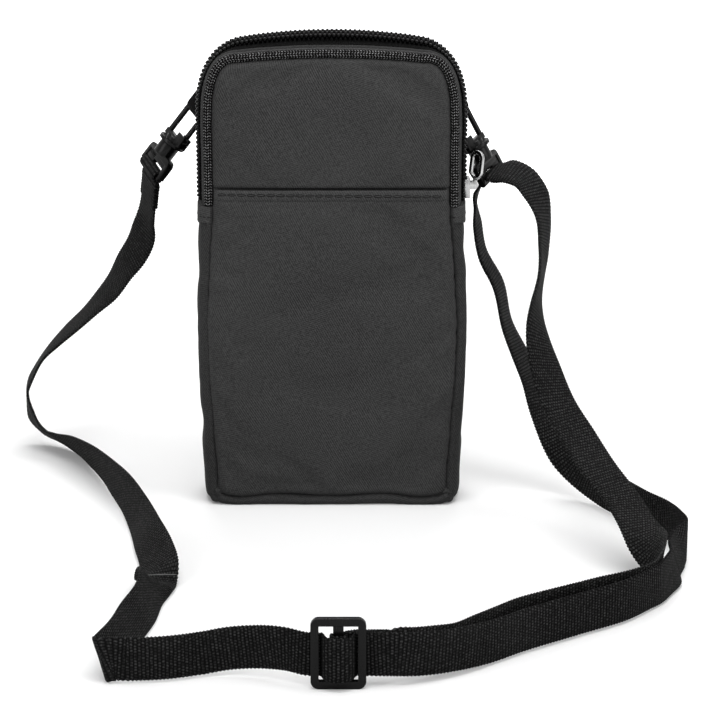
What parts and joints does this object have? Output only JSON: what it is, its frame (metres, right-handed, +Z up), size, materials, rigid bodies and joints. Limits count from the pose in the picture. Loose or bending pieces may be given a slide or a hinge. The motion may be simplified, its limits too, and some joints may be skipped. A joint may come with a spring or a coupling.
{
  "type": "phone pouch",
  "caption": "Slim upright zip pouch with a front slip pocket, padded panels, rounded top and a long webbing strap on swivel snap hooks.",
  "frame": {"origin": "middle of the flat base that the pouch stands on", "axes": "+Z up along the pouch's height, -Y out of the front with the pocket, +X to the right seen from the front"},
  "size_m": [0.2767, 0.2797, 0.1937],
  "materials": {
    "grey_cloth": "matte twill",
    "lining": "matte",
    "padding": "foam sheet",
    "black_trim": "woven tape",
    "webbing": "ribbed webbing",
    "black_plastic": "semi gloss",
    "silver_metal": "bright plated"
  },
  "bodies": {
    "pouch": {"back_panel": "grey_cloth", "back_foam": "padding", "back_lining": "lining", "lower_gusset": "grey_cloth", "front_panel_lower": "grey_cloth", "front_foam": "padding", "front_lining": "lining", "front_pocket": "grey_cloth", "pocket_hem": "grey_cloth", "rear_gusset": "grey_cloth", "zip_tape_rear": "black_trim", "zip_coil_rear": "black_trim", "zip_end_tab_left": "grey_cloth", "zip_end_tab_right": "grey_cloth", "zip_foot_left": "black_trim", "zip_foot_right": "black_trim", "strap_loop_left": "webbing", "strap_loop_right": "webbing", "swivel_eye_left": "black_plastic", "swivel_eye_right": "black_plastic", "strap_end_left": "webbing", "strap_turn_right": "webbing", "strap_long_left": "webbing", "strap_weave": "webbing", "strap_long_right": "webbing", "strap_sewn_run": "webbing", "strap_slack": "webbing"},
    "mouth_flap": {"front_panel_upper": "grey_cloth", "flap_foam": "padding", "flap_lining": "lining", "front_binding": "black_trim", "top_gusset": "grey_cloth", "zip_tape_front": "black_trim", "zip_coil_front": "black_trim"},
    "slider": {"zip_slider": "silver_metal"},
    "pull": {"zip_pull": "silver_metal"},
    "left_hook": {"hook_left": "black_plastic"},
    "right_hook": {"hook_right": "black_plastic"},
    "left_gate": {"gate_left": "black_plastic"},
    "right_gate": {"gate_right": "black_plastic"},
    "adjuster": {"tri_glide": "black_plastic", "strap_sewn_end": "webbing"}
  },
  "joints": [
    {"name": "mouth_open", "type": "hinge", "parent": "pouch", "child": "mouth_flap", "pos_m": [0, -0.015, 0.1345], "axis": [1, 0, 0], "range_deg": [0, 25], "deforming": ["zip_tape_front", "zip_coil_front"]},
    {"name": "zip_run", "type": "slide", "parent": "pouch", "child": "slider", "axis": [0, 0, 1], "range_m": [0, 0.028]},
    {"name": "pull_swing", "type": "hinge", "parent": "slider", "child": "pull", "pos_m": [0.05821, 0.003, 0.13157], "axis": [0, 1, 0], "range_deg": [0, 150]},
    {"name": "left_swivel", "type": "hinge", "parent": "pouch", "child": "left_hook", "pos_m": [-0.0665, 0.022, 0.145], "axis": [0.6157, 0, 0.788], "range_deg": [-10, 10]},
    {"name": "right_swivel", "type": "hinge", "parent": "pouch", "child": "right_hook", "pos_m": [0.06, 0.022, 0.1432], "axis": [-0.4695, 0, 0.8829], "range_deg": [-10, 10]},
    {"name": "left_gate_press", "type": "hinge", "parent": "left_hook", "child": "left_gate", "pos_m": [-0.06076, 0.01717, 0.14686], "axis": [-0.6455, -0.5736, 0.5043], "range_deg": [0, 20], "stiffness_Nm_per_rad": 0.02, "springref_deg": -5.73},
    {"name": "right_gate_press", "type": "hinge", "parent": "right_hook", "child": "right_gate", "pos_m": [0.05466, 0.01717, 0.14603], "axis": [-0.7233, 0.5736, -0.3846], "range_deg": [0, 20], "stiffness_Nm_per_rad": 0.02, "springref_deg": -5.73},
    {"name": "adjuster_slide", "type": "slide", "parent": "pouch", "child": "adjuster", "axis": [1, 0, 0], "range_m": [-0.014, 0.002], "deforming": ["strap_weave", "strap_slack"]}
  ]
}
